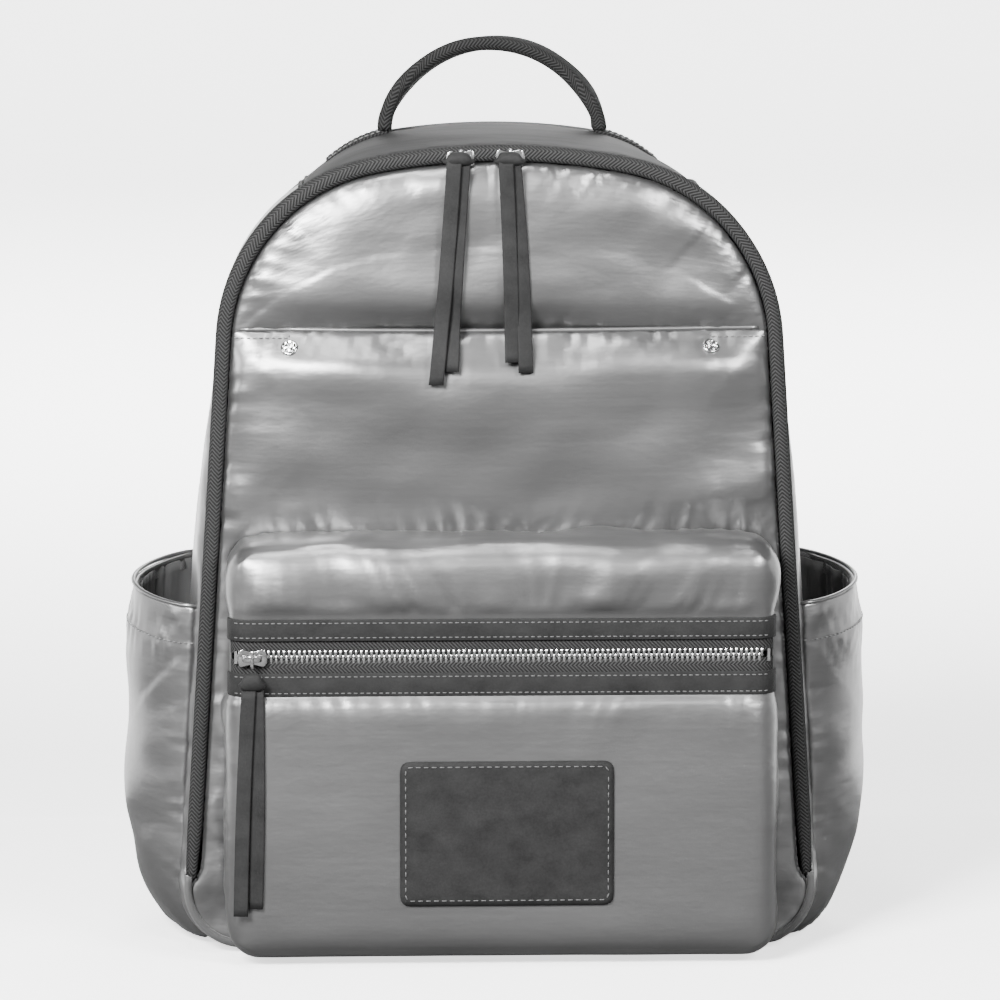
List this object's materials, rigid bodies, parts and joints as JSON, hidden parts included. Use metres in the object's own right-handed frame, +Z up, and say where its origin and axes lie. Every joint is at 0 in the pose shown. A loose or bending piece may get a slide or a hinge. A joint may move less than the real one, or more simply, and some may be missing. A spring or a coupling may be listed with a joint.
{
  "type": "diaper backpack",
  "caption": "Padded backpack for baby things with an arched front panel on a zip, a front pocket, two bottle pockets, a grab handle and shoulder straps.",
  "frame": {"origin": "on the ground under the middle of the bag", "axes": "+Z up; the front panel faces -Y; +X is on the right when the bag is seen from the front"},
  "size_m": [0.394, 0.2393, 0.463],
  "materials": {
    "satin_fabric": "satin weave, soft sheen",
    "piping": "satin over cord",
    "mesh_fabric": "air mesh, matt",
    "foam": "open cell foam, matt",
    "lining_fabric": "smooth woven lining",
    "stiffener": "matt board",
    "zip_tape": "herringbone tape, matt",
    "zip_coil": "nylon coil",
    "zip_metal": "polished",
    "hardware_metal": "polished",
    "leather": "fine grain, matt",
    "webbing": "herringbone webbing",
    "elastic": "knitted elastic",
    "strap_fabric": "satin weave over foam",
    "buckle_plastic": "moulded"
  },
  "bodies": {
    "bag_body": {"top_gusset": "satin_fabric", "base_panel": "satin_fabric", "side_gusset_left": "satin_fabric", "side_gusset_right": "satin_fabric", "back_cover": "mesh_fabric", "back_foam": "foam", "rear_piping": "piping", "main_lining": "lining_fabric", "base_board": "stiffener", "inner_pocket": "lining_fabric", "main_zip_tape_outer": "zip_tape", "main_zip_coil_outer": "zip_coil", "front_skirt": "satin_fabric", "base_piping": "piping", "front_pocket_foot": "satin_fabric", "handle_anchors": "webbing", "side_pocket_left": "satin_fabric", "side_pocket_right": "satin_fabric", "side_pocket_lining_left": "lining_fabric", "side_pocket_lining_right": "lining_fabric", "side_pocket_elastics": "elastic", "strap_yoke": "webbing", "lower_strap_tabs": "webbing", "strap_webbing_left": "webbing", "strap_webbing_right": "webbing"},
    "front_panel": {"front_panel_lower": "satin_fabric", "front_yoke": "satin_fabric", "slip_pocket_lining": "lining_fabric", "panel_lining": "lining_fabric", "slip_pocket_rivets": "hardware_metal", "main_zip_coil_inner": "zip_coil", "main_zip_tape_inner": "zip_tape", "front_pocket_gusset": "satin_fabric", "front_pocket_upper": "satin_fabric", "front_pocket_lower": "satin_fabric", "pocket_band_upper": "leather", "pocket_band_lower": "leather", "pocket_zip_teeth_upper": "zip_metal", "pocket_zip_tape_upper": "zip_tape", "pocket_zip_teeth_lower": "zip_metal", "pocket_zip_tape_lower": "zip_tape", "pocket_zip_stops": "zip_metal", "leather_patch": "leather"},
    "main_slider_left": {"main_slider_left": "hardware_metal"},
    "main_slider_right": {"main_slider_right": "hardware_metal"},
    "main_pull_left": {"main_pull_leather_left": "leather"},
    "main_pull_right": {"main_pull_leather_right": "leather"},
    "pocket_slider": {"pocket_slider": "hardware_metal"},
    "pocket_pull": {"pocket_pull_ring": "hardware_metal", "pocket_pull_leather": "leather"},
    "handle": {"grab_handle": "webbing"},
    "strap_left": {"strap_pad_left": "strap_fabric", "ladder_lock_left": "buckle_plastic", "strap_tail_left": "webbing"},
    "strap_right": {"strap_pad_right": "strap_fabric", "ladder_lock_right": "buckle_plastic", "strap_tail_right": "webbing"}
  },
  "joints": [
    {"name": "front_panel_open", "type": "hinge", "parent": "bag_body", "child": "front_panel", "pos_m": [0, -0.069, 0.035], "axis": [1, 0, 0], "range_deg": [0, 34], "deforming": ["front_pocket_foot"]},
    {"name": "main_slider_left_travel", "type": "hinge", "parent": "front_panel", "child": "main_slider_left", "pos_m": [0, -0.0705, 0.074], "axis": [0, -1, 0], "range_deg": [0, 6.9]},
    {"name": "main_slider_right_travel", "type": "hinge", "parent": "front_panel", "child": "main_slider_right", "pos_m": [0, -0.0705, 0.074], "axis": [0, 1, 0], "range_deg": [0, 9.4]},
    {"name": "main_pull_left_swing", "type": "hinge", "parent": "main_slider_left", "child": "main_pull_left", "pos_m": [-0.01988, -0.0767, 0.40861], "axis": [-1, 0, 0], "range_deg": [0, 90]},
    {"name": "main_pull_right_swing", "type": "hinge", "parent": "main_slider_right", "child": "main_pull_right", "pos_m": [0.00497, -0.0767, 0.40916], "axis": [-1, 0, 0], "range_deg": [0, 90]},
    {"name": "pocket_slider_travel", "type": "slide", "parent": "front_panel", "child": "pocket_slider", "axis": [1, 0, 0], "range_m": [0, 0.252]},
    {"name": "pocket_pull_swing", "type": "hinge", "parent": "pocket_slider", "child": "pocket_pull", "pos_m": [-0.1265, -0.1174, 0.16], "axis": [-1, 0, 0], "range_deg": [0, 90]},
    {"name": "handle_tilt", "type": "hinge", "parent": "bag_body", "child": "handle", "pos_m": [0, 0.054, 0.417], "axis": [1, 0, 0], "range_deg": [-50, 50], "stiffness_Nm_per_rad": 0.05},
    {"name": "strap_left_swing", "type": "hinge", "parent": "bag_body", "child": "strap_left", "pos_m": [-0.044, 0.072, 0.388], "axis": [1, 0, 0], "range_deg": [0, 12], "deforming": ["strap_webbing_left"]},
    {"name": "strap_right_swing", "type": "hinge", "parent": "bag_body", "child": "strap_right", "pos_m": [0.044, 0.072, 0.388], "axis": [1, 0, 0], "range_deg": [0, 12], "deforming": ["strap_webbing_right"]}
  ]
}
